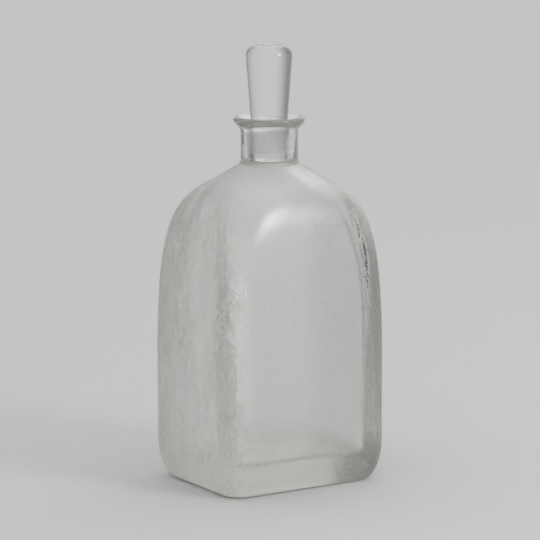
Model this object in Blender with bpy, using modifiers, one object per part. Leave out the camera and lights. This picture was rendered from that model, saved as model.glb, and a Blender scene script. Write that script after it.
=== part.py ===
"""A heavy carafe of etched glass with a solid glass stopper, in metres, +Z up.

The carafe stands on z = 0 with the Z axis through the middle of its base and its neck.
Its wide faces look along -Y and +Y. The stopper lifts out of the neck along +Z.
"""

import math

import bmesh
import bpy
from mathutils import Vector
from mathutils.geometry import interpolate_bezier

# Body, outside
BODY_WIDTH = 0.1136
BODY_DEPTH = 0.0924
BODY_HEIGHT = 0.1897  # from the table to the foot of the neck
CORNER_RADIUS = 0.0152  # of the upright corners
BASE_EDGE_INSET = 0.0092  # how far the contact face lies inside the walls
BASE_EDGE_HEIGHT = 0.0246  # how high the wall starts to roll in towards the table
BASE_CORNER_RADIUS = 0.0105  # corners of the contact face
WALL_TOP = 0.0650  # where the upright walls start to lean in
SHOULDER_PITCH = math.radians(31.5)  # slope of the shoulder at the neck, below level
SHOULDER_SLOPE_SHARE = 0.48  # share of the slope that stays straight
WALL_PULL = 0.85  # handles of the bend between wall and slope
SLOPE_PULL = 0.81
SQUARING = 2.0  # how slowly the round neck turns square down the shoulder
CAVITY_SQUARING = 3.2  # the same inside, where the blown bubble stays rounder

# Glass thickness
SIDE_WALL = 0.0130  # narrow sides
FACE_WALL = 0.0130  # wide faces
FLOOR_THICKNESS = 0.0175
SHOULDER_WALL = 0.0080
NECK_WALL = 0.0056  # at the mouth
CAVITY_CORNER_RADIUS = 0.0070
CAVITY_FLOOR_EDGE = 0.0045

# Neck and lip
NECK_LENGTH = 0.0269  # from the foot of the neck to the crest of the lip
NECK_FILLET = 0.0035
BORE_FOOT_ROUND = 0.0060
LIP_OVERHANG = 0.0043  # how far the lip stands out beyond the neck
LIP_BEAD = 0.0019  # radius of its rounded rim
LIP_UNDERSIDE = math.radians(50)  # slope of the underside, above level
UNDER_LIP_FILLET = 0.0045
MOUTH_PITCH = math.radians(20)  # slope of the mouth from the rim to the bore
MOUTH_ROUND = 0.0030

# Ground joint and stopper
SEAT_RADIUS = 0.0113  # of the bore's taper, at the level of the crest
SEAT_TAPER = math.radians(4.2)  # between the taper's side and the axis
SEAT_CLEARANCE = 0.0003
STOPPER_STAND = 0.0420  # above the crest of the lip
STOPPER_REACH = 0.0260  # below the crest of the lip
STOPPER_TOP_EDGE = 0.0063
STOPPER_END_EDGE = 0.0020

# Fineness
CORNER_STEPS = 14  # points in each quarter turn of a ring
BEND_STEPS = 15  # rings in each bend of the shoulder
EDGE_STEPS = 6  # rings in the base edge and the lip's rim
FILLET_STEPS = 4
STOPPER_STEPS = 48

# Sizes that follow from the ones above
NECK_RADIUS = SEAT_RADIUS + NECK_WALL
LIP_TOP = BODY_HEIGHT + NECK_LENGTH


def bore_radius(height):
    """Radius of the tapered bore at a height above the table."""
    return SEAT_RADIUS - (LIP_TOP - height) * math.tan(SEAT_TAPER)


def arc(centre, radius, first, last, steps):
    """Points on a circle from one angle to another, both ends included."""
    turns = [first + (last - first) * step / steps for step in range(steps + 1)]
    return [Vector(centre) + radius * Vector((math.cos(turn), math.sin(turn))) for turn in turns]


def fillet(before, corner, after, radius, steps=FILLET_STEPS):
    """Points of the arc that rounds the corner of an outline."""
    towards = [(Vector(point) - Vector(corner)).normalized() for point in (before, after)]
    half_angle = towards[0].angle(towards[1]) / 2
    bisector = (towards[0] + towards[1]).normalized()
    centre = Vector(corner) + bisector * radius / math.sin(half_angle)
    touching = [Vector(corner) + way * radius / math.tan(half_angle) for way in towards]
    first, last = (math.atan2(*reversed(point - centre)) for point in touching)
    turn = (last - first + math.pi) % (2 * math.pi) - math.pi
    return arc(centre, radius, first, first + turn, steps)


class Skin:
    """One side of the glass: a rounded rectangle at the walls that turns round at the neck."""

    def __init__(self, half_width, half_depth, corner, round_radius, squaring):
        self.half_width = half_width
        self.half_depth = half_depth
        self.corner = corner
        self.round_radius = round_radius
        self.squaring = squaring

    def ring(self, half_width, height):
        """The section where the skin has this half width."""
        share = (half_width - self.round_radius) / (self.half_width - self.round_radius)
        half_depth = self.round_radius + (self.half_depth - self.round_radius) * share
        least = min(half_width, half_depth)
        square = 1 - self.corner / min(self.half_width, self.half_depth)
        return section(half_width, half_depth, least * (1 - square * share**self.squaring), height)

    def inset_ring(self, inset, height, corner):
        """The section of the walls, drawn in by the same amount all round."""
        return section(self.half_width - inset, self.half_depth - inset, corner, height)


def section(half_width, half_depth, corner, height):
    """Points round a rectangle with rounded corners, anticlockwise seen from above."""
    ring = []
    for quarter in range(4):
        side_x = 1 if quarter in (0, 3) else -1
        side_y = 1 if quarter in (0, 1) else -1
        for step in range(CORNER_STEPS):
            turn = (quarter + (step + 0.5) / CORNER_STEPS) * math.pi / 2
            x = side_x * (half_width - corner) + corner * math.cos(turn)
            y = side_y * (half_depth - corner) + corner * math.sin(turn)
            ring.append(Vector((x, y, height)))
    return ring


def circle(radius, height):
    """A round section."""
    return section(radius, radius, radius, height)


def shoulder_bend(wall, foot):
    """Outline from the top of the upright wall to the straight slope that climbs to the foot."""
    knee = Vector((wall.x, foot.y - math.tan(SHOULDER_PITCH) * (wall.x - foot.x)))
    join = foot.lerp(knee, SHOULDER_SLOPE_SHARE)
    handles = wall.lerp(knee, WALL_PULL), join.lerp(knee, SLOPE_PULL)
    return [point.xy for point in interpolate_bezier(wall, *handles, join, BEND_STEPS)]


def base_edge(skin):
    """Rings of the rolled edge, from the contact face up to the wall."""
    rings = []
    for step in range(EDGE_STEPS + 1):
        turn = math.pi / 2 * step / EDGE_STEPS
        drawn_in = 1 - math.sin(turn)
        corner = skin.corner + (BASE_CORNER_RADIUS - skin.corner) * drawn_in
        height = BASE_EDGE_HEIGHT * (1 - math.cos(turn))
        rings.append(skin.inset_ring(BASE_EDGE_INSET * drawn_in, height, corner))
    return rings


def neck_and_mouth(slope, cavity_slope, bore_foot):
    """Round outline up the neck, over the lip, down the bore and out onto the cavity's shoulder."""
    rim = Vector((NECK_RADIUS + LIP_OVERHANG - LIP_BEAD, LIP_TOP - LIP_BEAD))
    bead = arc(rim, LIP_BEAD, LIP_UNDERSIDE - math.pi / 2, math.pi / 2 + MOUTH_PITCH, EDGE_STEPS)
    neck_foot = Vector((NECK_RADIUS, BODY_HEIGHT))
    drop = math.tan(LIP_UNDERSIDE) * (bead[0].x - NECK_RADIUS)
    under_lip = Vector((NECK_RADIUS, bead[0].y - drop))
    # The mouth's slope meets the tapered bore where both have one radius
    reach = bead[-1].x - bore_radius(bead[-1].y)
    fall = reach / (1 / math.tan(MOUTH_PITCH) - math.tan(SEAT_TAPER))
    mouth = Vector((bore_radius(bead[-1].y - fall), bead[-1].y - fall))
    return [
        *fillet(slope, neck_foot, under_lip, NECK_FILLET),
        *fillet(neck_foot, under_lip, bead[0], UNDER_LIP_FILLET),
        *bead,
        *fillet(bead[-1], mouth, bore_foot, MOUTH_ROUND),
        *fillet(mouth, bore_foot, cavity_slope, BORE_FOOT_ROUND),
    ]


def bore_foot_point():
    """Where the tapered bore opens into the cavity, a wall's thickness under the shoulder."""
    pitch = math.tan(SHOULDER_PITCH)
    taper = math.tan(SEAT_TAPER)
    under_neck = BODY_HEIGHT - SHOULDER_WALL / math.cos(SHOULDER_PITCH)
    height = (under_neck + pitch * (NECK_WALL + LIP_TOP * taper)) / (1 + pitch * taper)
    return Vector((bore_radius(height), height))


def carafe_rings():
    """Every ring of the glass, up the outside and down the inside to the cavity's floor."""
    outside = Skin(BODY_WIDTH / 2, BODY_DEPTH / 2, CORNER_RADIUS, NECK_RADIUS, SQUARING)
    bore_foot = bore_foot_point()
    cavity = Skin(
        outside.half_width - SIDE_WALL,
        outside.half_depth - FACE_WALL,
        CAVITY_CORNER_RADIUS,
        bore_foot.x,
        CAVITY_SQUARING,
    )
    bend = shoulder_bend(Vector((outside.half_width, WALL_TOP)), Vector((NECK_RADIUS, BODY_HEIGHT)))
    cavity_bend = shoulder_bend(Vector((cavity.half_width, WALL_TOP)), bore_foot)
    rings = base_edge(outside)
    rings += [outside.ring(point.x, point.y) for point in bend]
    rings += [circle(*point) for point in neck_and_mouth(bend[-1], cavity_bend[-1], bore_foot)]
    rings += [cavity.ring(point.x, point.y) for point in reversed(cavity_bend)]
    edge_centre = (0, FLOOR_THICKNESS + CAVITY_FLOOR_EDGE)
    for point in arc(edge_centre, CAVITY_FLOOR_EDGE, 0, -math.pi / 2, EDGE_STEPS):
        inset = CAVITY_FLOOR_EDGE - point.x
        rings.append(cavity.inset_ring(inset, point.y, cavity.corner - inset))
    return rings


def finish_mesh(mesh, material):
    """Smooth shading with crisp edges, and the material."""
    mesh.shade_smooth()
    mesh.set_sharp_from_angle(angle=math.radians(35))
    mesh.materials.append(material)


def add_loft(name, rings, material, collection):
    """One closed skin through the rings, with a flat face at each end."""
    shape = bmesh.new()
    loops = [[shape.verts.new(point) for point in ring] for ring in rings]
    for lower, upper in zip(loops, loops[1:]):
        for at, start in enumerate(lower):
            after = (at + 1) % len(lower)
            shape.faces.new((start, lower[after], upper[after], upper[at]))
    shape.faces.new(reversed(loops[0]))
    shape.faces.new(loops[-1])
    mesh = bpy.data.meshes.new(name)
    shape.to_mesh(mesh)
    shape.free()
    finish_mesh(mesh, material)
    loft = bpy.data.objects.new(name, mesh)
    collection.objects.link(loft)
    return loft


def add_turned(name, outline, place, material, collection):
    """A solid turned about the Z axis through its place, from an outline that runs down its outer side."""
    mesh = bpy.data.meshes.new(name)
    spans = [(at, at + 1) for at in range(len(outline) - 1)]
    mesh.from_pydata([(point.x, 0, point.y) for point in outline], spans, [])
    mesh.materials.append(material)
    turned = bpy.data.objects.new(name, mesh)
    turned.location = place
    collection.objects.link(turned)
    screw = turned.modifiers.new("Turn", "SCREW")
    screw.steps = screw.render_steps = STOPPER_STEPS
    screw.use_merge_vertices = True
    screw.merge_threshold = 0.00001
    screw.use_smooth_shade = True
    return turned


def stopper_outline():
    """From the middle of the top down the tapered side, measured from the crest of the lip."""
    radii = [
        SEAT_RADIUS - SEAT_CLEARANCE + height * math.tan(SEAT_TAPER)
        for height in (STOPPER_STAND, -STOPPER_REACH)
    ]
    top = Vector((0, STOPPER_STAND))
    top_corner = Vector((radii[0], STOPPER_STAND))
    end_corner = Vector((radii[1], -STOPPER_REACH))
    end = Vector((0, -STOPPER_REACH))
    return [
        top,
        *fillet(top, top_corner, end_corner, STOPPER_TOP_EDGE, 2 * EDGE_STEPS),
        *fillet(top_corner, end_corner, end, STOPPER_END_EDGE),
        end,
    ]


def glass(name, colour, roughness):
    """A see-through glass with its surface roughness."""
    material = bpy.data.materials.new(name)
    material.use_nodes = True
    shader = material.node_tree.nodes["Principled BSDF"]
    shader.inputs["Base Color"].default_value = colour
    shader.inputs["Roughness"].default_value = roughness
    shader.inputs["Metallic"].default_value = 0
    shader.inputs["IOR"].default_value = 1.5
    shader.inputs["Transmission Weight"].default_value = 1
    return material


def main():
    """Clears the scene and models the carafe and its stopper."""
    for leftover in list(bpy.data.objects):
        bpy.data.objects.remove(leftover)
    collection = bpy.data.collections.new("Carafe")
    bpy.context.scene.collection.children.link(collection)
    etched = glass("Etched glass", (0.90, 0.91, 0.89, 1), 0.45)
    clear = glass("Clear glass", (0.97, 0.98, 0.97, 1), 0.03)
    add_loft("carafe_body", carafe_rings(), etched, collection)
    add_turned("stopper", stopper_outline(), (0, 0, LIP_TOP), clear, collection)


main()
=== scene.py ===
"""A heavy carafe of etched glass with a solid glass stopper, on a pale floor in soft studio light.

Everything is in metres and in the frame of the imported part: the carafe stands on z = 0 with the
Z axis through its neck, and its wide faces look along -Y and +Y.
"""

import logging
import math
from dataclasses import dataclass, field
from enum import Enum
from typing import Any, Callable, Sequence

import bmesh
import bpy
from mathutils import Matrix, Vector, noise
from mathutils.geometry import interpolate_bezier


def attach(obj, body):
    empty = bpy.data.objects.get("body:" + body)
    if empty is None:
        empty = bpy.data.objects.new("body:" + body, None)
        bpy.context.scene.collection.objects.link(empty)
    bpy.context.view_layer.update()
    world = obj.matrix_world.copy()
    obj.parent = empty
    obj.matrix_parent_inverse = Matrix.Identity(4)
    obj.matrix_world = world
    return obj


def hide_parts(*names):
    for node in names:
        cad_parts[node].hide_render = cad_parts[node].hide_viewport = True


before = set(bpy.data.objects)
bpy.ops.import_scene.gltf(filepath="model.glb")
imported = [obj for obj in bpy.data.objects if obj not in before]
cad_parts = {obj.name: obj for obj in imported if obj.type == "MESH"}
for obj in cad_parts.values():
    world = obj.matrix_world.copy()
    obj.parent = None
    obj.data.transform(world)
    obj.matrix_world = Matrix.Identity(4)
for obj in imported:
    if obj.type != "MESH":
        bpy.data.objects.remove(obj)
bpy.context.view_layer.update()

LOG = logging.getLogger("carafe")
PICTURE_PIXELS = 540

Outline = list[Vector]
Colour = tuple[float, float, float]
Band = tuple[float, float]
Socket = bpy.types.NodeSocket

# Sideways as the photograph sees it, where an oval section reaches as far as the rectangle it stands for.
SIDEWAYS = Vector((0.846, 0.533))
# The search for how full such an oval is.
LEAST_POWER = 1.02
MOST_POWER = 2.0
HALVINGS = 30
OVAL_SPANS = 240
FILLET_STEPS = 6
END_INSET = 0.0004


class Body(Enum):
    """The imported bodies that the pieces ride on."""

    CARAFE = "carafe"
    STOPPER = "stopper"


class Slot(Enum):
    """The record's material slots."""

    ETCHED = "etched_glass"
    CLEAR = "clear_glass"


class Zone(Enum):
    """What a point of the carafe's skin carries, from 0 to 1, as the name of its attribute."""

    ETCHED = "etched"
    STREAKS = "streaks"
    # Painted shade: how near a point is to a near-black line that stands in for dark reflections, at the
    # cavity's edge seen through the front and in the neck's side.
    CREASE = "crease"


@dataclass(frozen=True)
class Pattern:
    """Soft noise: patches to the metre, finer layers and their strength, its bending and its pull along Z."""

    scale: float
    detail: float = 2
    rough: float = 0.5
    bend: float = 0
    pull: float = 1


class NodeDesk:
    """A node tree with short calls to add nodes and join them."""

    def __init__(self, tree: bpy.types.NodeTree) -> None:
        """Starts from an empty tree.

        Args:
            tree: The tree that the nodes go into.
        """
        self.tree = tree
        tree.nodes.clear()

    def add(self, kind: str, settings: dict[str, Any] | None = None, **inputs: Any) -> bpy.types.Node:
        """Adds a node.

        Args:
            kind: The node's type name.
            settings: Values of the node's own properties.
            inputs: Socket values or sockets to join, by socket name with _ for a space.

        Returns:
            The new node.
        """
        node = self.tree.nodes.new(kind)
        for name, value in (settings or {}).items():
            setattr(node, name, value)
        for name, value in inputs.items():
            self.feed(node.inputs[name.replace("_", " ")], value)
        return node

    def feed(self, socket: Socket, value: Any) -> None:
        """Joins a socket to another one, or sets its value.

        Args:
            socket: The input.
            value: The other socket, or the value.
        """
        if isinstance(value, Socket):
            self.tree.links.new(value, socket)
        else:
            socket.default_value = value

    def math(self, operation: str, *values: Any, clamp: bool = False) -> Socket:
        """A Math node's result.

        Args:
            operation: The operation's name.
            values: Numbers or sockets, in order.
            clamp: Whether the result is kept between 0 and 1.

        Returns:
            The result's socket.
        """
        node = self.tree.nodes.new("ShaderNodeMath")
        node.operation = operation
        node.use_clamp = clamp
        for socket, value in zip(node.inputs, values):
            self.feed(socket, value)
        return node.outputs[0]

    def ramp(self, value: Socket, low: float, high: float, start: float = 0, end: float = 1) -> Socket:
        """A smooth step of a value.

        Args:
            value: The socket that is read.
            low: Where the step starts.
            high: Where the step ends.
            start: The result below the step.
            end: The result above the step.

        Returns:
            The result's socket.
        """
        node = self.add("ShaderNodeMapRange", {"interpolation_type": "SMOOTHSTEP"}, Value=value)
        for name, number in zip(("From Min", "From Max", "To Min", "To Max"), (low, high, start, end)):
            node.inputs[name].default_value = number
        return node.outputs[0]

    def noise(self, place: Socket, pattern: Pattern, shift: Sequence[float] = (0, 0, 0)) -> Socket:
        """Soft noise between 0 and 1.

        Args:
            place: The position's socket.
            pattern: The noise's sizes.
            shift: Added to the position along each axis.

        Returns:
            The noise's socket.
        """
        pulled = self.add("ShaderNodeMapping", Vector=place, Scale=(1, 1, pattern.pull), Location=shift)
        node = self.add(
            "ShaderNodeTexNoise",
            Vector=pulled.outputs[0],
            Scale=pattern.scale,
            Detail=pattern.detail,
            Roughness=pattern.rough,
            Distortion=pattern.bend,
        )
        return node.outputs["Fac"]

    def blend_colour(self, share: Socket, first: Any, second: Any) -> Socket:
        """A mix of two colours.

        Args:
            share: How much of the second colour there is.
            first: Colour or socket.
            second: Colour or socket.

        Returns:
            The mixed colour's socket.
        """
        node = self.tree.nodes.new("ShaderNodeMix")
        node.data_type = "RGBA"
        for name, value in zip(("Factor_Float", "A_Color", "B_Color"), (share, first, second)):
            socket = next(item for item in node.inputs if item.identifier == name)
            self.feed(socket, value if isinstance(value, Socket) else (*value, 1))
        return next(item for item in node.outputs if item.identifier == "Result_Color")


@dataclass(frozen=True)
class GlassTint:
    """What the solid glass takes off the light that crosses it."""

    colour: Colour = (0.60, 0.60, 0.53)
    density: float = 5.7

    def fill(self, desk: NodeDesk) -> Socket:
        """The volume's socket."""
        node = desk.add("ShaderNodeVolumeAbsorption", Color=(*self.colour, 1), Density=self.density)
        return node.outputs[0]


@dataclass(frozen=True)
class Lines:
    """Fine winding lines in patches: bends to the metre, width as a share of a bend, and pull along Z."""

    bends: float
    width: float
    pull: float
    patches: Band = (0.38, 0.64)

    def draw(self, desk: NodeDesk, place: Socket) -> Socket:
        """Adds the lines.

        Args:
            desk: The material's nodes.
            place: The position's socket.

        Returns:
            1 on the lines, 0 off them.
        """
        winding = desk.noise(place, Pattern(self.bends, 2, 0.55, 1.6, self.pull), (self.bends, 0, 0))
        off = desk.math("ABSOLUTE", desk.math("SUBTRACT", winding, 0.5))
        spread = desk.noise(place, Pattern(self.bends / 4, pull=self.pull), (0, self.bends, 0))
        return desk.math("MULTIPLY", desk.ramp(off, 0, self.width, 1, 0), desk.ramp(spread, *self.patches))


@dataclass
class SkinNodes:
    """The nodes of the skin's material, and what they read at a point: its place, height and zones."""

    desk: NodeDesk
    place: Socket
    height: Socket
    etched: Socket
    streaked: Socket
    # How near the point is to a line of painted shade.
    painted_shade_nearness: Socket
    film: Socket

    @classmethod
    def start(cls, material: bpy.types.Material) -> "SkinNodes":
        """Starts a material's nodes, with the film where the etched skin is streaked.

        Args:
            material: The material that they go into.

        Returns:
            The nodes.
        """
        material.use_nodes = True
        desk = NodeDesk(material.node_tree)
        place = desk.add("ShaderNodeTexCoord").outputs["Object"]
        height = desk.add("ShaderNodeSeparateXYZ", Vector=place).outputs["Z"]
        etched, streaked, painted_shade_nearness = (
            desk.add("ShaderNodeAttribute", {"attribute_name": zone.value}).outputs["Fac"] for zone in Zone
        )
        film = desk.math("MULTIPLY", streaked, etched)
        return cls(desk, place, height, etched, streaked, painted_shade_nearness, film)


@dataclass(frozen=True)
class EtchedGlass:
    """Glass whose outer skin is etched matt while its mouth and cavity stay fire-polished."""

    name: str = "Etched glass"
    tint: GlassTint = GlassTint()
    index: float = 1.5
    polished: float = 0.015
    matt: float = 0.34
    matt_sway: float = 0.03
    clouds: Pattern = Pattern(70, 4, 0.6, 0.4, 0.45)
    cloud_band: Band = (0.3, 0.7)
    haze: float = 0.05
    dome_haze: float = 0.18
    dome_band: Band = (0.1580, 0.1820)
    underside_haze: float = 0.80
    underside_band: Band = (0.0005, 0.0010)
    grain: Pattern = Pattern(620, 4, 0.65)
    grain_band: Band = (0.36, 0.64)
    grain_haze: float = 0.06
    fibres: Pattern = Pattern(520, 5, 0.7, 0.8, 0.4)
    fibre_band: Band = (0.36, 0.64)
    fibre_haze: Band = (0.08, 0.34)
    scratches: Lines = Lines(170, 0.022, 0.3)
    scratch_haze: float = 0.45
    rim_haze: float = 0.28
    smears: Pattern = Pattern(60, 3, 0.6, 0.8, 0.5)
    smear_band: Band = (0.42, 0.70)
    worms: Lines = Lines(215, 0.060, 0.42)
    worm_share: float = 0.44
    # Painted shade: jagged near-black lines that stand in for dark reflections, with a hazier rim beside
    # them.
    painted_shade_waves: Pattern = Pattern(1300, 3, 0.7, 1.2, 0.4)
    painted_shade_sway: float = 2.4
    painted_shade_band: Band = (2.02, 2.14)
    rim_band: Band = (1.50, 1.95)
    speck_cells: float = 38.0
    speck_rarity: float = 0.72
    speck_band: Band = (0.012, 0.020)
    fine_relief: Pattern = Pattern(2600, 2, 0.6)
    fine_strength: float = 0.25
    fine_depth: float = 0.00005
    drawn_relief: Pattern = Pattern(380, 4, 0.65, 1.0, 0.55)
    puckered_relief: Pattern = Pattern(330, 3, 0.65, 1.5, 0.7)
    broad_depth: float = 0.0003
    colour: Colour = (0.985, 0.988, 0.982)
    grain_colour: Colour = (0.955, 0.956, 0.952)
    smear_colour: Colour = (0.92, 0.905, 0.868)
    worm_colour: Colour = (0.40, 0.375, 0.35)
    speck_colour: Colour = (0.05, 0.045, 0.04)
    # Colour of the lines of painted shade.
    painted_shade_colour: Colour = (0.002, 0.002, 0.003)

    def material(self) -> bpy.types.Material:
        """Makes the material.

        Returns:
            A material that reads the piece's own attributes, named by Zone.
        """
        material = bpy.data.materials.new(self.name)
        skin = SkinNodes.start(material)
        desk = skin.desk
        grained = desk.ramp(desk.noise(skin.place, self.grain), *self.grain_band)
        # The lines of painted shade: near black where the skin is near them, made jagged by noise, with a
        # hazier rim beside them.
        waves = desk.noise(skin.place, self.painted_shade_waves)
        near_painted_shade = desk.math("MULTIPLY_ADD", waves, self.painted_shade_sway, skin.painted_shade_nearness)
        painted_shade = desk.ramp(near_painted_shade, *self.painted_shade_band)
        rim = desk.math("SUBTRACT", desk.ramp(near_painted_shade, *self.rim_band), painted_shade, clamp=True)
        clouds = desk.noise(skin.place, self.clouds)
        sway = desk.ramp(clouds, *self.cloud_band, -self.matt_sway, self.matt_sway)
        rough = desk.math("MULTIPLY", desk.math("ADD", sway, self.matt), skin.etched)
        shader = desk.add(
            "ShaderNodeBsdfPrincipled",
            Base_Color=desk.blend_colour(painted_shade, self.skin_colour(skin, grained), self.painted_shade_colour),
            Roughness=desk.math("ADD", rough, self.polished, clamp=True),
            Transmission_Weight=desk.math("SUBTRACT", 1.0, self.skin_haze(skin, grained, rim)),
            IOR=self.index,
            Normal=self.relief(skin),
        )
        desk.add("ShaderNodeOutputMaterial", Surface=shader.outputs[0], Volume=self.tint.fill(desk))
        return material

    def skin_haze(self, skin: SkinNodes, grained: Socket, rim: Socket) -> Socket:
        """How much of the light the skin scatters.

        Args:
            skin: The material's nodes.
            grained: The etching's grain, from 0 to 1.
            rim: 1 beside the lines of painted shade.

        Returns:
            The share of the light that doesn't go through as in clear glass.
        """
        desk = skin.desk
        fibres = desk.ramp(desk.noise(skin.place, self.fibres), *self.fibre_band, *self.fibre_haze)
        scratched = desk.math("MULTIPLY", self.scratches.draw(desk, skin.place), skin.film)
        haze = desk.math("MULTIPLY", fibres, skin.film)
        for layer in (
            desk.ramp(skin.height, *self.dome_band, self.haze, self.haze + self.dome_haze),
            desk.ramp(skin.height, *self.underside_band, self.underside_haze, 0),
            desk.ramp(grained, 0, 1, -self.grain_haze, self.grain_haze),
            desk.math("MULTIPLY", scratched, self.scratch_haze),
            desk.math("MULTIPLY", rim, self.rim_haze),
        ):
            haze = desk.math("ADD", haze, layer)
        return desk.math("MULTIPLY", skin.etched, haze, clamp=True)

    def skin_colour(self, skin: SkinNodes, grained: Socket) -> Socket:
        """The skin's colour with its grain, smears, winding marks and specks.

        Args:
            skin: The material's nodes.
            grained: The etching's grain, from 0 to 1.

        Returns:
            The colour's socket.
        """
        desk = skin.desk
        smears = desk.ramp(desk.noise(skin.place, self.smears), *self.smear_band)
        worms = desk.math("MULTIPLY", self.worms.draw(desk, skin.place), skin.film)
        colour: Any = self.colour
        for share, marked in (
            (desk.math("MULTIPLY", grained, skin.etched), self.grain_colour),
            (desk.math("MULTIPLY", smears, skin.film), self.smear_colour),
            (desk.math("MULTIPLY", worms, self.worm_share), self.worm_colour),
            (self.specks(skin), self.speck_colour),
        ):
            colour = desk.blend_colour(share, colour, marked)
        return colour

    def specks(self, skin: SkinNodes) -> Socket:
        """Adds a few tiny dark specks.

        Args:
            skin: The material's nodes.

        Returns:
            1 on a speck, 0 off it.
        """
        desk = skin.desk
        cells = desk.add("ShaderNodeTexVoronoi", Vector=skin.place, Scale=self.speck_cells, Randomness=1.0)
        chance = desk.add("ShaderNodeSeparateColor", Color=cells.outputs["Color"]).outputs[0]
        dots = desk.ramp(cells.outputs["Distance"], *self.speck_band, 1, 0)
        chosen = desk.math("MULTIPLY", dots, desk.math("GREATER_THAN", chance, self.speck_rarity))
        return desk.math("MULTIPLY", chosen, skin.etched)

    def relief(self, skin: SkinNodes) -> Socket:
        """Adds the skin's bumps: a fine grain, upright streaks, and puckers along the lines of painted shade.

        Args:
            skin: The material's nodes.

        Returns:
            The bent normal's socket.
        """
        desk = skin.desk
        grain = desk.math("MULTIPLY", desk.noise(skin.place, self.fine_relief), skin.etched)
        fine = desk.add("ShaderNodeBump", Strength=self.fine_strength, Distance=self.fine_depth, Height=grain)
        drawn = desk.math("MULTIPLY", desk.noise(skin.place, self.drawn_relief), skin.streaked)
        puckered = desk.math("MULTIPLY", desk.noise(skin.place, self.puckered_relief), skin.painted_shade_nearness)
        broad = desk.add("ShaderNodeBump", Strength=1.0, Distance=self.broad_depth, Normal=fine.outputs[0])
        desk.feed(broad.inputs["Height"], desk.math("ADD", drawn, puckered))
        return broad.outputs[0]


@dataclass(frozen=True)
class ClearGlass:
    """Clear polished glass with a ground zone where it seats in the neck."""

    name: str = "Clear glass"
    tint: GlassTint = GlassTint((0.60, 0.60, 0.57), 4.0)
    colour: Colour = (0.99, 0.992, 0.99)
    index: float = 1.5
    polished: float = 0.01
    ground: float = 0.32
    ground_from: Band = (0.1967, 0.1983)
    ground_to: Band = (0.2110, 0.2140)
    soft: float = 0.13
    soft_band: Band = (0.2515, 0.2545)

    def material(self) -> bpy.types.Material:
        """Makes the material.

        Returns:
            A clear material that is matt in its ground zone and a little soft at the top.
        """
        material = bpy.data.materials.new(self.name)
        material.use_nodes = True
        desk = NodeDesk(material.node_tree)
        place = desk.add("ShaderNodeTexCoord").outputs["Object"]
        height = desk.add("ShaderNodeSeparateXYZ", Vector=place).outputs["Z"]
        above, below = desk.ramp(height, *self.ground_from), desk.ramp(height, *self.ground_to, 1, 0)
        top = desk.ramp(height, *self.soft_band, self.polished, self.soft)
        zone = desk.math("MULTIPLY", above, below)
        shader = desk.add(
            "ShaderNodeBsdfPrincipled",
            Base_Color=(*self.colour, 1),
            Roughness=desk.math("MULTIPLY_ADD", zone, self.ground, top),
            Transmission_Weight=1.0,
            IOR=self.index,
        )
        desk.add("ShaderNodeOutputMaterial", Surface=shader.outputs[0], Volume=self.tint.fill(desk))
        return material


@dataclass
class Ring:
    """One section of a skin."""

    points: Outline
    etched: float = 0.0
    zones: Callable[[Vector], dict[Zone, float]] = lambda point: {}


class RingModel:
    """A closed skin whose rings run from one flat end to the other."""

    def __init__(self, name: str, rings: Sequence[Ring]) -> None:
        """Extrudes a filled circle, cuts its side into rings and shapes each of them.

        Args:
            name: The piece's name.
            rings: The sections, from one end to the other, with the same number of points.
        """
        points, last = len(rings[0].points), len(rings) - 1
        bpy.ops.object.select_all(action="DESELECT")
        bpy.ops.mesh.primitive_circle_add(vertices=points, radius=1, fill_type="NGON")
        self.piece = bpy.context.object
        self.piece.name = self.piece.data.name = name
        bpy.ops.object.mode_set(mode="EDIT")
        bpy.ops.mesh.select_all(action="SELECT")
        bpy.ops.mesh.extrude_region_move(TRANSFORM_OT_translate={"value": (0, 0, 1)})
        self.pick("EDGE", lambda edge: abs(edge.verts[0].co.z - edge.verts[1].co.z) > 0.5)
        bpy.ops.mesh.subdivide_edgering(number_cuts=last - 1, interpolation="LINEAR")
        bpy.ops.object.mode_set(mode="OBJECT")
        layers = self.piece.data.attributes
        for zone in Zone:
            layers.new(zone.value, "FLOAT", "POINT")
        skins = {zone: layers[zone.value] for zone in Zone}
        for vertex in self.piece.data.vertices:
            ring = rings[round(vertex.co.z * last)]
            turn = math.atan2(vertex.co.y, vertex.co.x)
            vertex.co = ring.points[round(turn / math.tau * points) % points]
            skins[Zone.ETCHED].data[vertex.index].value = ring.etched
            for zone, amount in ring.zones(vertex.co).items():
                skins[zone].data[vertex.index].value = amount

    def pick(self, kind: str, wanted: Callable[[Any], bool]) -> None:
        """Selects the parts that a test picks out, and nothing else.

        Args:
            kind: EDGE or FACE.
            wanted: The test.
        """
        bpy.ops.mesh.select_mode(type=kind)
        bpy.ops.mesh.select_all(action="DESELECT")
        shape = bmesh.from_edit_mesh(self.piece.data)
        for part in shape.edges if kind == "EDGE" else shape.faces:
            part.select_set(wanted(part))
        bmesh.update_edit_mesh(self.piece.data)

    def finish(self) -> bpy.types.Object:
        """Insets the flat ends, so that their shading stays flat, and closes the modelling.

        Returns:
            The finished piece.
        """
        bpy.ops.object.mode_set(mode="EDIT")
        self.pick("FACE", lambda face: len(face.verts) > 4)
        bpy.ops.mesh.inset(thickness=END_INSET)
        bpy.ops.mesh.select_all(action="SELECT")
        bpy.ops.mesh.normals_make_consistent(inside=False)
        bpy.ops.object.mode_set(mode="OBJECT")
        bpy.ops.object.shade_smooth()
        return self.piece


def arc(centre: Sequence[float], radius: float, first: float, last: float, steps: int) -> Outline:
    """Points on a circle from one angle to another.

    Args:
        centre: Middle of the circle.
        radius: Its radius.
        first: First angle.
        last: Last angle.
        steps: How many spans there are.

    Returns:
        The points, both ends included.
    """
    turns = [first + (last - first) * step / steps for step in range(steps + 1)]
    return [Vector(centre) + radius * Vector((math.cos(turn), math.sin(turn))) for turn in turns]


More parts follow.
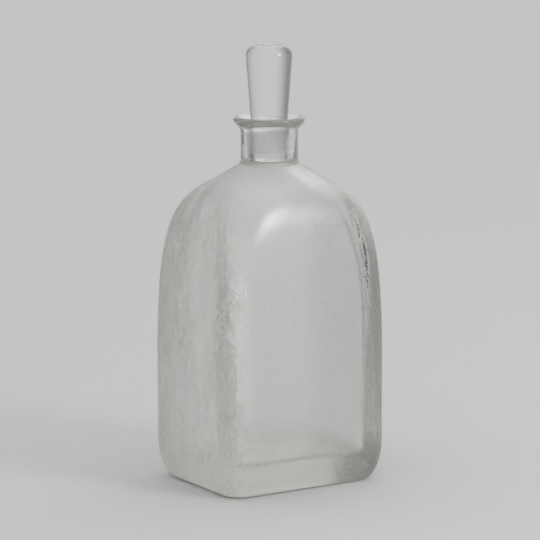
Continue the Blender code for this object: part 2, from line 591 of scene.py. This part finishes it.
def fillet(
    before: Sequence[float],
    corner: Sequence[float],
    after: Sequence[float],
    radius: float,
    steps: int = FILLET_STEPS,
) -> Outline:
    """Points of the arc that rounds the corner of an outline.

    Args:
        before: The outline's point before the corner.
        corner: The corner.
        after: The outline's point after the corner.
        radius: The arc's radius.
        steps: How many spans there are.

    Returns:
        The points, both ends included.
    """
    towards = [(Vector(point) - Vector(corner)).normalized() for point in (before, after)]
    half_angle = towards[0].angle(towards[1]) / 2
    bisector = (towards[0] + towards[1]).normalized()
    centre = Vector(corner) + bisector * radius / math.sin(half_angle)
    touching = [Vector(corner) + way * radius / math.tan(half_angle) for way in towards]
    first, last = (math.atan2(*reversed(point - centre)) for point in touching)
    turn = (last - first + math.pi) % (2 * math.pi) - math.pi
    return arc(centre, radius, first, first + turn, steps)


def spaced(outline: Outline, longest: float) -> Outline:
    """Adds points to an outline, so that no span is too long.

    Args:
        outline: The outline.
        longest: The longest span.

    Returns:
        The outline with its own points and the new ones.
    """
    points = [outline[0]]
    for start, end in zip(outline, outline[1:]):
        spans = max(1, math.ceil((end - start).length / longest))
        points += [start.lerp(end, (step + 1) / spans) for step in range(spans)]
    return points


@dataclass(frozen=True)
class Fade:
    """A smooth change from 0 at a start to 1 at an end."""

    start: float
    end: float

    def at(self, value: float) -> float:
        """The amount at a value."""
        share = min(max((value - self.start) / (self.end - self.start), 0), 1)
        return share * share * (3 - 2 * share)


@dataclass
class Bend:
    """Half size along Y and corner radius of the front half or of the back half of a section."""

    half_depth: float
    corner: float


def mirrored(front: Outline, back: Outline, height: float) -> Outline:
    """A section from its quarters towards -Y and +Y.

    Args:
        front: The front quarter's points as if both its axes were positive, from the X axis to the Y axis.
        back: The back quarter's points, the same way.
        height: The section's height above the floor.

    Returns:
        The points, anticlockwise from the +X side.
    """
    ring = []
    for side_x, quarter, side_y in ((1, back, 1), (-1, back, 1), (-1, front, -1), (1, front, -1)):
        points = [Vector((side_x * point.x, side_y * point.y, height)) for point in quarter]
        ring += points if side_x == side_y else reversed(points)
    return ring


def rectangle_quarter(half_width: float, half: Bend, count: int) -> Outline:
    """Evenly spaced points on a quarter of a rectangle with rounded corners.

    Args:
        half_width: Half its size along X.
        half: Half its size along Y, and its corner.
        count: How many points there are.

    Returns:
        The points, from the X axis to the Y axis.
    """
    flat_side, flat_face = half.half_depth - half.corner, half_width - half.corner
    length = flat_side + half.corner * math.pi / 2 + flat_face
    quarter = []
    for step in range(count):
        along = (step + 0.5) / count * length
        turn = min(max((along - flat_side) / half.corner, 0), math.pi / 2)
        x = flat_face + half.corner * math.cos(turn) - max(0, along - length + flat_face)
        quarter.append(Vector((x, min(along, flat_side) + half.corner * math.sin(turn))))
    return quarter


def fullness(half_width: float, half: Bend, way: Vector) -> float:
    """How full an oval must be to reach as far as a rounded rectangle does.

    Args:
        half_width: Half the size of both along X.
        half: Half size along Y, and the rectangle's corner radius.
        way: The direction in which both reach as far.

    Returns:
        The oval's exponent: 2 for an ellipse, more for a squarer oval.
    """
    flat_x, flat_y = half_width - half.corner, half.half_depth - half.corner
    reach = flat_x * abs(way.x) + flat_y * abs(way.y) + half.corner
    low, high = LEAST_POWER, MOST_POWER
    for _ in range(HALVINGS):
        power = (low + high) / 2
        spans = (half_width * abs(way.x)) ** power + (half.half_depth * abs(way.y)) ** power
        if spans ** (1 / power) > reach:
            low = power
        else:
            high = power
    return power / (power - 1)


def oval_quarter(half_width: float, half: Bend, count: int) -> Outline:
    """Evenly spaced points on a quarter of a full oval that reaches as far sideways as a rounded rectangle.

    Args:
        half_width: Half its size along X.
        half: Half its size along Y, and the rectangle's corner.
        count: How many points there are.

    Returns:
        The points, from the X axis to the Y axis.
    """
    share = 2 / fullness(half_width, half, SIDEWAYS)
    turns = [math.pi / 2 * (1 - math.cos(math.pi * step / OVAL_SPANS)) / 2 for step in range(OVAL_SPANS + 1)]
    outline = [
        Vector((half_width * max(0, math.cos(turn)) ** share, half.half_depth * math.sin(turn) ** share))
        for turn in turns
    ]
    lengths = [0.0]
    for start, end in zip(outline, outline[1:]):
        lengths.append(lengths[-1] + (end - start).length)
    quarter, at = [], 0
    for step in range(count):
        along = (step + 0.5) / count * lengths[-1]
        while lengths[at + 1] < along:
            at += 1
        share_of_span = (along - lengths[at]) / (lengths[at + 1] - lengths[at])
        quarter.append(outline[at].lerp(outline[at + 1], share_of_span))
    return quarter


def circle(radius: float, height: float, points: int) -> Outline:
    """A round section."""
    quarter = rectangle_quarter(radius, Bend(radius, radius), points // 4)
    return mirrored(quarter, quarter, height)


@dataclass
class Skin:
    """One side of the glass: a rounded rectangle at the walls that turns round at the neck."""

    half_width: float
    front: Bend
    back: Bend
    round_radius: float
    squaring: float
    points: int
    swelling: float = 0.6
    swell: Fade = Fade(1.0, 0.86)

    def section(
        self, quarter: Callable[..., Outline], half_width: float, halves: Sequence[Bend], height: float
    ) -> Outline:
        """A section whose quarters are all made by one function."""
        front, back = (quarter(half_width, half, self.points // 4) for half in halves)
        return mirrored(front, back, height)

    def ring(self, half_width: float, height: float) -> Outline:
        """The section where the skin has this half width.

        Args:
            half_width: Half its size along X.
            height: Its height above the floor.

        Returns:
            The section, squarer at the walls and rounder towards the neck.
        """
        share = (half_width - self.round_radius) / (self.half_width - self.round_radius)
        halves = []
        for wall in (self.front, self.back):
            half_depth = self.round_radius + (wall.half_depth - self.round_radius) * share
            square = 1 - wall.corner / min(self.half_width, wall.half_depth)
            corner = min(half_width, half_depth) * (1 - square * share**self.squaring)
            halves.append(Bend(half_depth, corner))
        flat = self.section(rectangle_quarter, half_width, halves, height)
        swell = self.swelling * self.swell.at(share)
        if swell == 0:
            return flat
        full = self.section(oval_quarter, half_width, halves, height)
        return [start.lerp(end, swell) for start, end in zip(flat, full)]

    def slope_ring(self, half_width: float, height: float) -> Outline:
        """The section of the slope and the neck, round where it is no wider than the neck."""
        if half_width > self.round_radius:
            return self.ring(half_width, height)
        return circle(half_width, height, self.points)

    def inset_ring(self, inset: float, height: float, drop: float) -> Outline:
        """The section of the walls, drawn in by an inset all round, its corners smaller by a drop."""
        halves = [Bend(wall.half_depth - inset, wall.corner - drop) for wall in (self.front, self.back)]
        return self.section(rectangle_quarter, self.half_width - inset, halves, height)


@dataclass(frozen=True)
class StreakPatch:
    """Where the glass is streaked: fades over X and Y, as shares of the half sizes, and over the height."""

    strength: float
    along: tuple[Fade, ...] = ()
    across: tuple[Fade, ...] = ()
    upward: tuple[Fade, ...] = ()

    def at(self, along: float, across: float, height: float) -> float:
        """The streaks at a point, from 0 to the patch's strength."""
        fades = ((self.along, along), (self.across, across), (self.upward, height))
        return self.strength * math.prod(fade.at(value) for group, value in fades for fade in group)


@dataclass
class CarafeGlass:
    """The blown vessel: body, shoulder, neck, lip and cavity in one piece of glass."""

    width: float = 0.1136
    depth: float = 0.0924
    neck_foot: float = 0.1897
    corner: float = 0.0152
    base_steps: int = 12
    base_edge_inset: float = 0.0092
    base_edge_height: float = 0.0246
    base_corner: float = 0.0105
    wall_top: float = 0.0650
    shoulder_pitch: float = math.radians(31.5)
    slope_share: float = 0.48
    wall_pull: float = 0.85
    slope_pull: float = 0.81
    squaring: float = 2.0
    side_wall: float = 0.0118
    side_wall_low: float = 0.0146
    front_wall: float = 0.0113
    back_wall: float = 0.0145
    floor: float = 0.0175
    shoulder_wall: float = 0.0080
    neck_wall: float = 0.0056
    cavity_front_corner: float = 0.0050
    cavity_back_corner: float = 0.0080
    cavity_floor_edge: float = 0.0045
    cavity_corner_share: float = 0.6
    neck_length: float = 0.0269
    neck_fillet: float = 0.0035
    bore_foot_round: float = 0.0060
    lip_overhang: float = 0.0043
    lip_bead: float = 0.0019
    bead_steps: int = 10
    lip_underside: float = math.radians(50)
    under_lip_fillet: float = 0.0045
    mouth_pitch: float = math.radians(20)
    mouth_round: float = 0.0030
    seat_radius: float = 0.0113
    seat_taper: float = math.radians(4.2)
    ground: float = 0.8
    ground_from: float = 0.1955
    ground_to: float = 0.2120
    etch_fade: float = 0.0050
    cavity_squaring: float = 3.2
    # Painted shade: points (x, z) of a near-black line drawn on the front near its right corner, standing in
    # for the dark reflection at the cavity's edge, with its width, sharpness and strength by height.
    crease: tuple[tuple[float, float], ...] = (
        (0.0333, 0.1622),
        (0.0342, 0.1565),
        (0.0356, 0.1489),
        (0.0381, 0.1429),
        (0.0392, 0.1328),
        (0.0392, 0.1162),
        (0.0394, 0.0900),
    )
    painted_shade_width: float = 0.0032
    painted_shade_sharpness: float = 1.35
    painted_shade_strength: float = 0.50
    painted_shade_gain: float = 0.42
    painted_shade_gains: Fade = Fade(0.098, 0.128)
    painted_shade_loss: float = 0.15
    painted_shade_loses: Fade = Fade(0.150, 0.158)
    # Painted shade: a short near-black line in the neck's side, standing in for the dark side of the room
    # seen at the neck's edge.
    painted_neck_shade_turn: float = math.radians(171)
    painted_neck_shade_from: float = 0.2015
    painted_neck_shade_to: float = 0.2095
    painted_neck_shade_width: float = 0.0021
    painted_neck_shade_sharpness: float = 1.7
    neck_matt: float = 0.22
    lip_matt: float = 0.35
    lip_from: float = 0.2125
    streak_patches: tuple[StreakPatch, ...] = (
        StreakPatch(1.0, along=(Fade(-0.62, -0.92),), upward=(Fade(0.190, 0.165),)),
        StreakPatch(0.4, along=(Fade(0.3, -0.4),), upward=(Fade(0.050, 0.022),)),
        StreakPatch(0.85, along=(Fade(0.48, 0.72),), upward=(Fade(0.130, 0.160), Fade(0.188, 0.172))),
        StreakPatch(
            0.5,
            along=(Fade(-0.1, 0.5), Fade(0.8, 0.6)),
            across=(Fade(-0.5, -0.8),),
            upward=(Fade(0.027, 0.015),),
        ),
    )
    least_streaks: float = 0.03
    below_neck_fade: Fade = Fade(0.1897, 0.1797)
    inner_patch: StreakPatch = StreakPatch(0.6, along=(Fade(-0.35, -0.65),), upward=(Fade(0.1777, 0.1597),))
    wave_seed: int = 5
    even_from: float = 0.1777
    wave_depth: float = 0.00012
    streak_depth: float = 0.0003
    waves: tuple[float, float, float] = (110, 110, 45)
    thickened: Fade = Fade(0.1150, 0.0350)
    points: int = 256
    longest_span: float = 0.0014
    longest_round_span: float = 0.0012
    shoulder_steps: int = 72
    finish: EtchedGlass = field(default_factory=EtchedGlass)

    @property
    def neck_radius(self) -> float:
        """Outer radius of the neck."""
        return self.seat_radius + self.neck_wall

    @property
    def lip_top(self) -> float:
        """Height of the lip's crest."""
        return self.neck_foot + self.neck_length

    def bore_radius(self, height: float) -> float:
        """Radius of the tapered bore at a height above the floor."""
        return self.seat_radius - (self.lip_top - height) * math.tan(self.seat_taper)

    def shoulder(self, wall: Vector, foot: Vector) -> Outline:
        """Outline of a shoulder.

        Args:
            wall: Top of the upright wall.
            foot: Foot of the neck or of the bore.

        Returns:
            The bend from the wall to the straight slope that climbs to the foot.
        """
        knee = Vector((wall.x, foot.y - math.tan(self.shoulder_pitch) * (wall.x - foot.x)))
        join = foot.lerp(knee, self.slope_share)
        handles = wall.lerp(knee, self.wall_pull), join.lerp(knee, self.slope_pull)
        return [point.xy for point in interpolate_bezier(wall, *handles, join, self.shoulder_steps)]

    def bore_foot(self) -> Vector:
        """Foot of the bore.

        Returns:
            Where the bore opens into the cavity, a wall's thickness under the shoulder.
        """
        pitch, taper = math.tan(self.shoulder_pitch), math.tan(self.seat_taper)
        under_neck = self.neck_foot - self.shoulder_wall / math.cos(self.shoulder_pitch)
        height = (under_neck + pitch * (self.neck_wall + self.lip_top * taper)) / (1 + pitch * taper)
        return Vector((self.bore_radius(height), height))

    def bead(self) -> Outline:
        """The lip's rounded rim.

        Returns:
            The outline from the lip's underside to the mouth.
        """
        rim = (self.neck_radius + self.lip_overhang - self.lip_bead, self.lip_top - self.lip_bead)
        first, last = self.lip_underside - math.pi / 2, math.pi / 2 + self.mouth_pitch
        return arc(rim, self.lip_bead, first, last, self.bead_steps)

    def neck_outline(self, slope: Vector) -> Outline:
        """Round outline of the neck.

        Args:
            slope: End of the shoulder's slope.

        Returns:
            The outline from the neck's foot over the lip's rim.
        """
        bead = self.bead()
        foot = Vector((self.neck_radius, self.neck_foot))
        drop = math.tan(self.lip_underside) * (bead[0].x - self.neck_radius)
        under_lip = Vector((self.neck_radius, bead[0].y - drop))
        return [
            *fillet(slope, foot, under_lip, self.neck_fillet),
            *fillet(foot, under_lip, bead[0], self.under_lip_fillet),
            *bead,
        ]

    def bore_outline(self, slope: Vector) -> Outline:
        """Round outline of the mouth and the bore.

        Args:
            slope: End of the cavity's slope.

        Returns:
            The outline from the lip's rim down to the foot of the bore.
        """
        rim = self.bead()[-1]
        reach = rim.x - self.bore_radius(rim.y)
        fall = reach / (1 / math.tan(self.mouth_pitch) - math.tan(self.seat_taper))
        mouth = Vector((self.bore_radius(rim.y - fall), rim.y - fall))
        return [
            rim,
            *fillet(rim, mouth, self.bore_foot(), self.mouth_round),
            *fillet(mouth, self.bore_foot(), slope, self.bore_foot_round),
        ]

    def build(self) -> bpy.types.Object:
        """Models the vessel, with a set seed, as the waves of the cavity would else change with each run.

        Returns:
            The finished piece.
        """
        noise.seed_set(self.wave_seed)
        return RingModel("carafe_glass", self.outside_rings() + self.cavity_rings()).finish()

    def outside_rings(self) -> list[Ring]:
        """Shapes the outside.

        Returns:
            The rings from the contact face up to the lip's rim.
        """
        half_width = self.width / 2
        wall = Bend(self.depth / 2, self.corner)
        skin = Skin(half_width, wall, wall, self.neck_radius, self.squaring, self.points)
        rings = []
        for step in range(self.base_steps + 1):
            turn = math.pi / 2 * step / self.base_steps
            drawn_in = 1 - math.sin(turn)
            height = self.base_edge_height * (1 - math.cos(turn))
            drop = (self.corner - self.base_corner) * drawn_in
            rings.append(Ring(skin.inset_ring(self.base_edge_inset * drawn_in, height, drop), 1))
        upright = [Vector((half_width, self.base_edge_height)), Vector((half_width, self.wall_top))]
        bend = self.shoulder(upright[-1], Vector((self.neck_radius, self.neck_foot)))
        for point in [*spaced(upright, self.longest_span)[1:-1], *bend]:
            rings.append(Ring(skin.ring(point.x, point.y), 1))
        for point in spaced([bend[-1], *self.neck_outline(bend[-1])], self.longest_round_span)[1:]:
            below_neck = point.y < self.neck_foot + self.neck_fillet
            shape = skin.slope_ring(point.x, point.y) if below_neck else circle(point.x, point.y, self.points)
            etched = min(max((self.neck_foot + self.etch_fade - point.y) / self.etch_fade, self.neck_matt), 1)
            rings.append(Ring(shape, max(etched, self.lip_matt * float(point.y > self.lip_from))))
        for ring in rings:
            ring.zones = self.outer_zones
        return rings

    def outer_zones(self, point: Vector) -> dict[Zone, float]:
        """What the outside carries at a point, with most streaks on one narrow side.

        Args:
            point: The point.

        Returns:
            How streaked it is and how near it is to a line of painted shade.
        """
        along, across = point.x / (self.width / 2), point.y / (self.depth / 2)
        streaks = [patch.at(along, across, point.z) for patch in self.streak_patches]
        return {
            Zone.STREAKS: max(self.least_streaks, *streaks) * self.below_neck_fade.at(point.z),
            # Nearness to the lines of painted shade in the front and in the neck's side.
            Zone.CREASE: max(self.near_painted_shade_line(point), self.near_painted_neck_shade(point)),
        }

    def near_painted_shade_line(self, point: Vector) -> float:
        """How near a point is to the line of painted shade in the front, a near-black line that stands in for
        the dark reflection at the cavity's edge.

        Args:
            point: A point of the outside.

        Returns:
            The painted shade's strength at that height, less away from the line.
        """
        if point.y > 0:
            return 0
        lengths = []
        for start, end in zip(self.crease, self.crease[1:]):
            first, last, here = Vector(start), Vector(end), point.xz
            along = min(max((here - first).dot(last - first) / (last - first).length_squared, 0), 1)
            lengths.append((here - first.lerp(last, along)).length)
        nearness = min(max(0, 1 - min(lengths) / self.painted_shade_width) * self.painted_shade_sharpness, 1)
        strength = self.painted_shade_strength + self.painted_shade_gain * self.painted_shade_gains.at(point.z)
        return nearness * (strength - self.painted_shade_loss * self.painted_shade_loses.at(point.z))

    def near_painted_neck_shade(self, point: Vector) -> float:
        """How near a point is to the painted shade in the neck's side, a dark line that stands in for the
        dark side of the room seen at the neck's edge.

        Args:
            point: A point of the outside.

        Returns:
            1 at the line, 0 away from it.
        """
        if point.z < self.neck_foot + self.etch_fade:
            return 0
        along = self.neck_radius * (math.atan2(point.y, point.x) - self.painted_neck_shade_turn)
        away = point.z - min(max(point.z, self.painted_neck_shade_from), self.painted_neck_shade_to)
        near = max(0, 1 - math.hypot(along, away) / self.painted_neck_shade_width)
        return min(self.painted_neck_shade_sharpness * near, 1)

    def cavity_rings(self) -> list[Ring]:
        """Shapes the inside.

        Returns:
            The rings from the lip's rim down the bore and the cavity to its floor.
        """
        half_width, foot = self.width / 2 - self.side_wall, self.bore_foot()
        skin = Skin(
            half_width,
            Bend(self.depth / 2 - self.front_wall, self.cavity_front_corner),
            Bend(self.depth / 2 - self.back_wall, self.cavity_back_corner),
            foot.x,
            self.cavity_squaring,
            self.points,
        )
        bend = self.shoulder(Vector((half_width, self.wall_top)), foot)
        rings = []
        for point in spaced([*self.bore_outline(bend[-1]), bend[-1]], self.longest_round_span)[1:-1]:
            in_mouth = point.y > self.ground_to
            shape = circle(point.x, point.y, self.points) if in_mouth else skin.slope_ring(point.x, point.y)
            matt = self.lip_matt if in_mouth else self.ground * float(point.y > self.ground_from)
            rings.append(Ring(shape, matt))
        for point in reversed(bend):
            rings.append(Ring(skin.ring(point.x, point.y)))
        floor_bend = self.floor + self.cavity_floor_edge
        upright = [Vector((half_width, self.wall_top)), Vector((half_width, floor_bend))]
        for point in spaced(upright, self.longest_span)[1:-1]:
            rings.append(Ring(skin.ring(point.x, point.y)))
        for point in arc((0, floor_bend), self.cavity_floor_edge, 0, -math.pi / 2, FILLET_STEPS):
            inset = self.cavity_floor_edge - point.x
            rings.append(Ring(skin.inset_ring(inset, point.y, inset * self.cavity_corner_share)))
        for ring in rings:
            for point in ring.points:
                point.x -= math.copysign(self.side_thickening(point), point.x)
                point += self.unevenness(point)
            ring.zones = self.inner_zones
        return rings

    def inner_zones(self, point: Vector) -> dict[Zone, float]:
        """How streaked the cavity's wall is at a point."""
        along, across = point.x / (self.width / 2), point.y / (self.depth / 2)
        return {Zone.STREAKS: self.least_streaks + self.inner_patch.at(along, across, point.z)}

    def unevenness(self, point: Vector) -> Vector:
        """How far the blown wall strays from its plan.

        Args:
            point: A point of the cavity.

        Returns:
            The way from the plan to the wall.
        """
        if point.z > self.even_from:
            return Vector((0, 0, 0))
        amount = self.wave_depth + self.streak_depth * self.inner_zones(point)[Zone.STREAKS]
        drawn = Vector([value * waves for value, waves in zip(point, self.waves)])
        return noise.noise_vector(drawn) * amount

    def side_thickening(self, point: Vector) -> float:
        """How much thicker the narrow sides are low down, where a point of the cavity lies."""
        outward = min(abs(point.x) / (self.width / 2 - self.side_wall), 1)
        return (self.side_wall_low - self.side_wall) * self.thickened.at(point.z) * outward**3

    def place(self) -> bpy.types.Object:
        """Models and dresses the vessel and fixes it to its body.

        Returns:
            The finished piece.
        """
        piece = self.build()
        piece.data.materials.append(self.finish.material())
        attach(piece, Body.CARAFE.value)
        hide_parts("carafe_body")
        return piece


@dataclass
class StopperGlass:
    """The solid stopper, tapered all the way."""

    lip_top: float = 0.2166
    stand: float = 0.0420
    reach: float = 0.0260
    seat_radius: float = 0.0110
    taper: float = math.radians(4.2)
    top_edge: float = 0.0063
    end_edge: float = 0.0020
    top_steps: int = 14
    points: int = 160
    longest_span: float = 0.0015
    finish: ClearGlass = field(default_factory=ClearGlass)

    def outline(self) -> Outline:
        """Round outline of the stopper.

        Returns:
            The outline from the end's edge up the tapered side to the top's edge.
        """
        top, end = self.lip_top + self.stand, self.lip_top - self.reach
        top_radius = self.seat_radius + self.stand * math.tan(self.taper)
        end_radius = self.seat_radius - self.reach * math.tan(self.taper)
        return [
            *fillet((0, end), (end_radius, end), (top_radius, top), self.end_edge),
            *fillet((end_radius, end), (top_radius, top), (0, top), self.top_edge, self.top_steps),
        ]

    def build(self) -> bpy.types.Object:
        """Models the stopper.

        Returns:
            The finished piece.
        """
        outline = spaced(self.outline(), self.longest_span)
        rings = [Ring(circle(point.x, point.y, self.points)) for point in outline]
        return RingModel("stopper_glass", rings).finish()

    def place(self) -> bpy.types.Object:
        """Models and dresses the stopper and fixes it to its body.

        Returns:
            The finished piece.
        """
        piece = self.build()
        piece.data.materials.append(self.finish.material())
        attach(piece, Body.STOPPER.value)
        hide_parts("stopper")
        return piece


@dataclass
class Lamp:
    """A soft square lamp that looks at the carafe."""

    name: str
    bearing: float
    height_angle: float
    distance: float
    size: float
    power: float

    def place(self, target: Vector) -> None:
        """Adds the lamp.

        Args:
            target: The point that it looks at.
        """
        bearing, lift = math.radians(self.bearing), math.radians(self.height_angle)
        level = math.cos(lift)
        way = Vector((math.sin(bearing) * level, math.cos(bearing) * level, math.sin(lift)))
        light = bpy.data.lights.new(self.name, "AREA")
        light.shape = "SQUARE"
        light.size = self.size
        light.energy = self.power
        lamp = bpy.data.objects.new(self.name, light)
        bpy.context.scene.collection.objects.link(lamp)
        lamp.location = target + way * self.distance
        lamp.rotation_euler = way.to_track_quat("Z", "Y").to_euler()


@dataclass(frozen=True)
class Shade:
    """A darker or brighter side of the room in the glass: bearing, core, spread, and level low and high."""

    bearing: float
    core: float
    spread: float
    level: float
    high: float


@dataclass
class Studio:
    """Pale floor, even surroundings and soft lamps."""

    floor_size: float = 14
    floor_drop: float = 0.0001
    floor_colour: Colour = (0.605, 0.61, 0.605)
    surroundings: Colour = (0.545, 0.55, 0.545)
    fill: float = 0.82
    floor_end: Band = (0.5, 1.6)
    floor_end_in_glass: Band = (0.14, 0.40)
    # How much more the shades count on the floor near the carafe, as painted shade and painted light that
    # glass sees.
    near_power: float = 1.3
    near_to: Band = (1.1, 1.45)
    shade_band: Band = (0.04, 0.18)
    shades: tuple[Shade, ...] = (
        Shade(-50, 25, 75, 0.40, 0.12),
        Shade(115, 14, 26, 0.60, 0.68),
        Shade(170, 60, 110, 0.70, 0.70),
        Shade(30, 15, 48, 1.08, 1.28),
    )
    lamps: tuple[Lamp, ...] = (
        Lamp("Key lamp", 157, 24, 1.6, 0.50, 6.0),
        Lamp("Side lamp", 62, 34, 1.8, 1.4, 2.0),
    )

    def place_floor(self) -> None:
        """Adds the floor, which ends softly in the surroundings, sooner as glass sees it. As glass sees it,
        the floor glows with the surroundings' light and carries the shades as painted shade and painted
        light, stronger near the carafe.
        """
        bpy.ops.object.select_all(action="DESELECT")
        bpy.ops.mesh.primitive_plane_add(size=self.floor_size)
        floor = bpy.context.object
        floor.location.z = -self.floor_drop
        floor.name = floor.data.name = "studio_floor"
        material = bpy.data.materials.new("Pale floor")
        material.use_nodes = True
        desk = NodeDesk(material.node_tree)
        place = desk.add("ShaderNodeTexCoord").outputs["Object"]
        distance = desk.add("ShaderNodeVectorMath", {"operation": "LENGTH"}, Vector=place).outputs["Value"]
        lit = desk.add("ShaderNodeBsdfDiffuse", Color=(*self.floor_colour, 1))
        camera = desk.add("ShaderNodeLightPath").outputs["Is Camera Ray"]
        straight = desk.math("MULTIPLY", desk.ramp(distance, *self.floor_end), camera)
        bent = desk.ramp(distance, *self.floor_end_in_glass)
        away = desk.math("MULTIPLY_ADD", desk.math("SUBTRACT", 1.0, camera), bent, straight)
        away = desk.math("MULTIPLY", away, self.seen(desk))
        power = desk.ramp(distance, *self.near_to, self.near_power, 1)
        level = self.level(desk, place, power)
        pale = desk.add("ShaderNodeEmission", Color=(*self.surroundings, 1), Strength=level)
        mixed = desk.add("ShaderNodeMixShader", Fac=away)
        desk.feed(mixed.inputs[1], lit.outputs[0])
        desk.feed(mixed.inputs[2], pale.outputs[0])
        desk.add("ShaderNodeOutputMaterial", Surface=mixed.outputs[0])
        floor.data.materials.append(material)

    def seen(self, desk: NodeDesk) -> Socket:
        """Tells rays that look at the surroundings from those that gather the light on a matt surface.

        Args:
            desk: The nodes.

        Returns:
            1 for a ray that looks, 0 for one that gathers.
        """
        path = desk.add("ShaderNodeLightPath").outputs
        looks = desk.math("MAXIMUM", path["Is Camera Ray"], path["Is Glossy Ray"])
        looks = desk.math("MAXIMUM", looks, path["Is Transmission Ray"])
        return desk.math("MULTIPLY", looks, desk.math("LESS_THAN", path["Diffuse Depth"], 0.5))

    def level(self, desk: NodeDesk, way: Socket, power: Any) -> Socket:
        """How bright the surroundings are.

        Args:
            desk: The nodes.
            way: The direction's socket.
            power: How much the shades count, 1 for as they are written.

        Returns:
            The level's socket: 1 for the camera, and for glass less or more in the shades.
        """
        parts = desk.add("ShaderNodeSeparateXYZ", Vector=way).outputs
        bearing = desk.math("DEGREES", desk.math("ARCTAN2", parts["X"], parts["Y"]))
        level: Any = 1.0
        for shade in self.shades:
            round_half = desk.math("WRAP", desk.math("SUBTRACT", bearing, shade.bearing), 180.0, -180.0)
            off = desk.math("ABSOLUTE", round_half)
            depth = desk.ramp(parts["Z"], *self.shade_band, 1 - shade.level, 1 - shade.high)
            inside = desk.ramp(off, shade.core, shade.spread, 1, 0)
            left = desk.math("SUBTRACT", 1.0, desk.math("MULTIPLY", depth, inside))
            level = desk.math("MULTIPLY", level, left)
        level = desk.math("POWER", level, power)
        camera = desk.add("ShaderNodeLightPath").outputs["Is Camera Ray"]
        in_glass = desk.math("SUBTRACT", 1.0, camera)
        return desk.math("MULTIPLY_ADD", desk.math("SUBTRACT", level, 1.0), in_glass, 1.0)

    def place_surroundings(self) -> None:
        """Sets the world: the pale surroundings to look at, and the even light from all sides."""
        world = bpy.data.worlds.new("Studio")
        bpy.context.scene.world = world
        world.use_nodes = True
        desk = NodeDesk(world.node_tree)
        way = desk.add("ShaderNodeTexCoord").outputs["Generated"]
        light = desk.add("ShaderNodeBackground", Color=(1, 1, 1, 1), Strength=self.fill)
        level = self.level(desk, way, 1.0)
        pale = desk.add("ShaderNodeBackground", Color=(*self.surroundings, 1), Strength=level)
        mixed = desk.add("ShaderNodeMixShader", Fac=self.seen(desk))
        desk.feed(mixed.inputs[1], light.outputs[0])
        desk.feed(mixed.inputs[2], pale.outputs[0])
        desk.add("ShaderNodeOutputWorld", Surface=mixed.outputs[0])

    def place(self, target: Vector) -> None:
        """Adds floor, surroundings and lamps.

        Args:
            target: The point that the lamps look at.
        """
        self.place_floor()
        self.place_surroundings()
        for lamp in self.lamps:
            lamp.place(target)
            LOG.info("lamp %s", lamp.name)


@dataclass
class Viewpoint:
    """The camera, from the place and with the frame of the photograph."""

    target: tuple[float, float, float] = (0, 0, 0.110)
    distance: float = 1.5725
    bearing: float = math.radians(-32.236)
    height_angle: float = math.radians(9.687)
    roll: float = math.radians(-0.093)
    focal_pixels: float = 2650.9
    target_pixel: tuple[float, float] = (269.465, 295.545)
    sensor: float = 36.0
    farthest: float = 50.0

    def place(self) -> None:
        """Adds the camera and makes it the scene's own."""
        lens = bpy.data.cameras.new("Camera")
        lens.sensor_width = self.sensor
        lens.lens = self.focal_pixels / PICTURE_PIXELS * self.sensor
        lens.shift_x = (PICTURE_PIXELS / 2 - self.target_pixel[0]) / PICTURE_PIXELS
        lens.shift_y = (self.target_pixel[1] - PICTURE_PIXELS / 2) / PICTURE_PIXELS
        lens.clip_end = self.farthest
        camera = bpy.data.objects.new("Camera", lens)
        bpy.context.scene.collection.objects.link(camera)
        bearing, lift = self.bearing, self.height_angle
        level = math.cos(lift)
        back = Vector((math.sin(bearing) * level, -math.cos(bearing) * level, math.sin(lift)))
        right = Vector((math.cos(bearing), math.sin(bearing), 0))
        turn = Matrix((right, back.cross(right), back)).transposed() @ Matrix.Rotation(self.roll, 3, "Z")
        camera.matrix_world = Matrix.Translation(Vector(self.target) + back * self.distance) @ turn.to_4x4()
        bpy.context.scene.camera = camera


def set_light_paths() -> None:
    """Lets light cross all the walls of thick glass before it is given up."""
    cycles = bpy.context.scene.cycles
    cycles.max_bounces = 32
    cycles.transmission_bounces = 32
    cycles.glossy_bounces = 24
    cycles.diffuse_bounces = 4
    cycles.blur_glossy = 0.3


def main() -> None:
    """Builds the camera, the studio and the pieces."""
    logging.basicConfig(level=logging.INFO, format="%(name)s: %(message)s")
    bpy.context.scene.view_settings.view_transform = "Standard"
    set_light_paths()
    viewpoint = Viewpoint()
    viewpoint.place()
    Studio().place(Vector(viewpoint.target))
    for assembly in (CarafeGlass(), StopperGlass()):
        piece = assembly.place()
        LOG.info("%s: %d faces", piece.name, len(piece.data.polygons))


if __name__ == "__main__":
    main()
